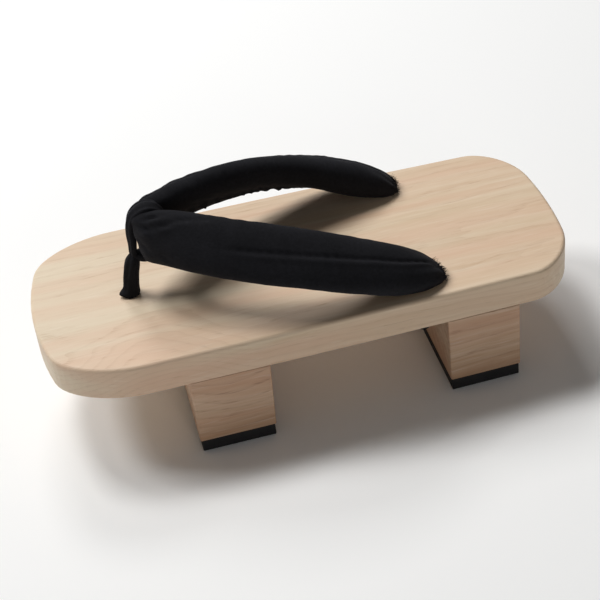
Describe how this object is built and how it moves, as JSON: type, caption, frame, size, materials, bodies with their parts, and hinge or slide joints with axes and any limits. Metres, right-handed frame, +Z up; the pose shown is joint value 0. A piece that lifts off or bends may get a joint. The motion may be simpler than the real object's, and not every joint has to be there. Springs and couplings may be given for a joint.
{
  "type": "geta sandal",
  "caption": "Wooden geta sandal for either foot: a flat rounded board on cross teeth with rubber soles, and a padded black cotton V strap held by a toe thong through the board.",
  "frame": {"origin": "On the floor under the middle of the bounding box.", "axes": "+Y runs along the sandal towards the toe, +X runs across it, +Z is up from the floor."},
  "size_m": [0.1096, 0.26, 0.1132],
  "materials": {
    "board_wood": "pale paulownia, planed and unvarnished, grain along the length",
    "tooth_wood": "paulownia, planed and unvarnished, a little darker than the board",
    "sole_rubber": "matt black rubber",
    "strap_cotton": "black woven cotton over soft padding",
    "thong_cotton": "black woven cotton strip, folded"
  },
  "bodies": {
    "root": {"board": "board_wood", "front_tooth": "tooth_wood", "rear_tooth": "tooth_wood", "front_sole": "sole_rubber", "rear_sole": "sole_rubber", "strap": "strap_cotton", "front_thong": "thong_cotton"}
  },
  "joints": []
}
